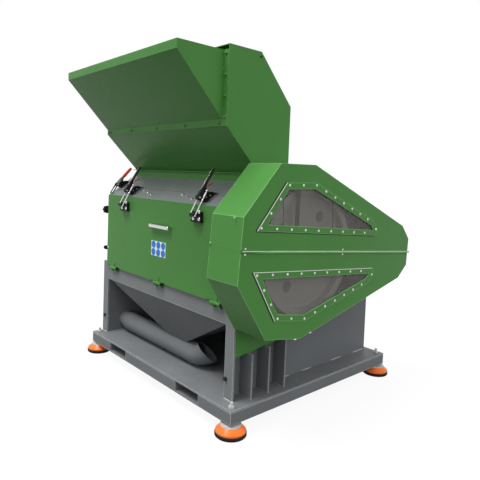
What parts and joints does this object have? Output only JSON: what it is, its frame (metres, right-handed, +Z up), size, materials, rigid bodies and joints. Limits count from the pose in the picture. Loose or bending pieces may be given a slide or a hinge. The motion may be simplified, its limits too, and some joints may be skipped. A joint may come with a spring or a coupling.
{
  "type": "plastic granulator",
  "caption": "Floor-standing plastic granulator: steel platform on levelling feet, cutting chamber with hinged front door and latch clamps, hooded hopper, guarded belt drive, suction pipe.",
  "frame": {"origin": "bottom centre of the bounding box of the whole machine, on the floor under its feet", "axes": "+X to the belt guard's end, +Y to the back, away from the door and the hood, +Z up"},
  "size_m": [2.037, 1.994, 2.32],
  "materials": {
    "green_paint": "semi-gloss",
    "grey_paint": "satin",
    "foot_orange": "semi-gloss",
    "foot_rubber": "matt",
    "zinc_steel": "satin",
    "black_steel": "satin",
    "black_plastic": "matt",
    "chrome": "polished",
    "window_plastic": "clear",
    "cast_iron": "machined",
    "tool_steel": "ground",
    "belt_rubber": "matt",
    "motor_paint": "satin",
    "red_plastic": "semi-gloss"
  },
  "bodies": {
    "machine": {"base_deck": "grey_paint", "base_rims": "grey_paint", "fork_pockets": "grey_paint", "feet_rubber": "foot_rubber", "feet_caps": "foot_orange", "feet_studs": "zinc_steel", "front_frame": "grey_paint", "lower_walls": "grey_paint", "deck_plates": "grey_paint", "side_ribs": "grey_paint", "suction_pipe": "grey_paint", "funnel": "grey_paint", "chamber_ends": "green_paint", "chamber_back": "green_paint", "top_slopes": "grey_paint", "top_plates": "grey_paint", "knife_beams": "tool_steel", "bed_knives": "tool_steel", "screen": "tool_steel", "bearing_housings": "cast_iron", "drive_belt": "belt_rubber", "motor": "motor_paint", "guard_upper": "green_paint", "guard_lower": "green_paint", "guard_back_plate": "grey_paint", "window_frames": "green_paint", "window_panes": "window_plastic", "door_hinges": "green_paint", "clamp_bases": "black_steel", "hopper_sides": "green_paint", "hopper_front_and_roof": "green_paint", "hopper_base_band": "green_paint", "hopper_hood": "green_paint"},
    "door_leaf": {"door": "green_paint", "door_handle": "chrome", "door_catches": "black_steel", "clamp_loops": "zinc_steel", "star_knobs": "black_plastic"},
    "left_lever": {"clamp_lever_left": "black_steel"},
    "right_lever": {"clamp_lever_right": "black_steel"},
    "red_lever": {"red_clamp_lever": "red_plastic"},
    "rotor_set": {"rotor": "cast_iron", "rotor_knives": "tool_steel", "rotor_pulley": "cast_iron"},
    "motor_drive": {"motor_pulley": "cast_iron"}
  },
  "joints": [
    {"name": "door_swing", "type": "hinge", "parent": "machine", "child": "door_leaf", "pos_m": [-0.0835, -0.6204, 0.74], "axis": [1, 0, 0], "range_deg": [0, 100]},
    {"name": "clamp_left_lever", "type": "hinge", "parent": "machine", "child": "left_lever", "pos_m": [-0.5655, -0.62408, 1.39192], "axis": [1, 0, 0], "range_deg": [0, 100]},
    {"name": "clamp_right_lever", "type": "hinge", "parent": "machine", "child": "right_lever", "pos_m": [0.3775, -0.62408, 1.39192], "axis": [1, 0, 0], "range_deg": [0, 100]},
    {"name": "red_clamp_swing", "type": "hinge", "parent": "machine", "child": "red_lever", "pos_m": [-0.8475, -0.55516, 1.43132], "axis": [1, 0, 0], "range_deg": [0, 100]},
    {"name": "rotor_spin", "type": "hinge", "parent": "machine", "child": "rotor_set", "pos_m": [-0.0635, -0.186, 1.085], "axis": [1, 0, 0], "continuous": true},
    {"name": "motor_spin", "type": "hinge", "parent": "machine", "child": "motor_drive", "pos_m": [0.8765, 0.663, 1.03], "axis": [1, 0, 0], "continuous": true}
  ],
  "couplings": [
    {"joint": "motor_spin", "follows": "rotor_spin", "ratio": 3.6364}
  ]
}
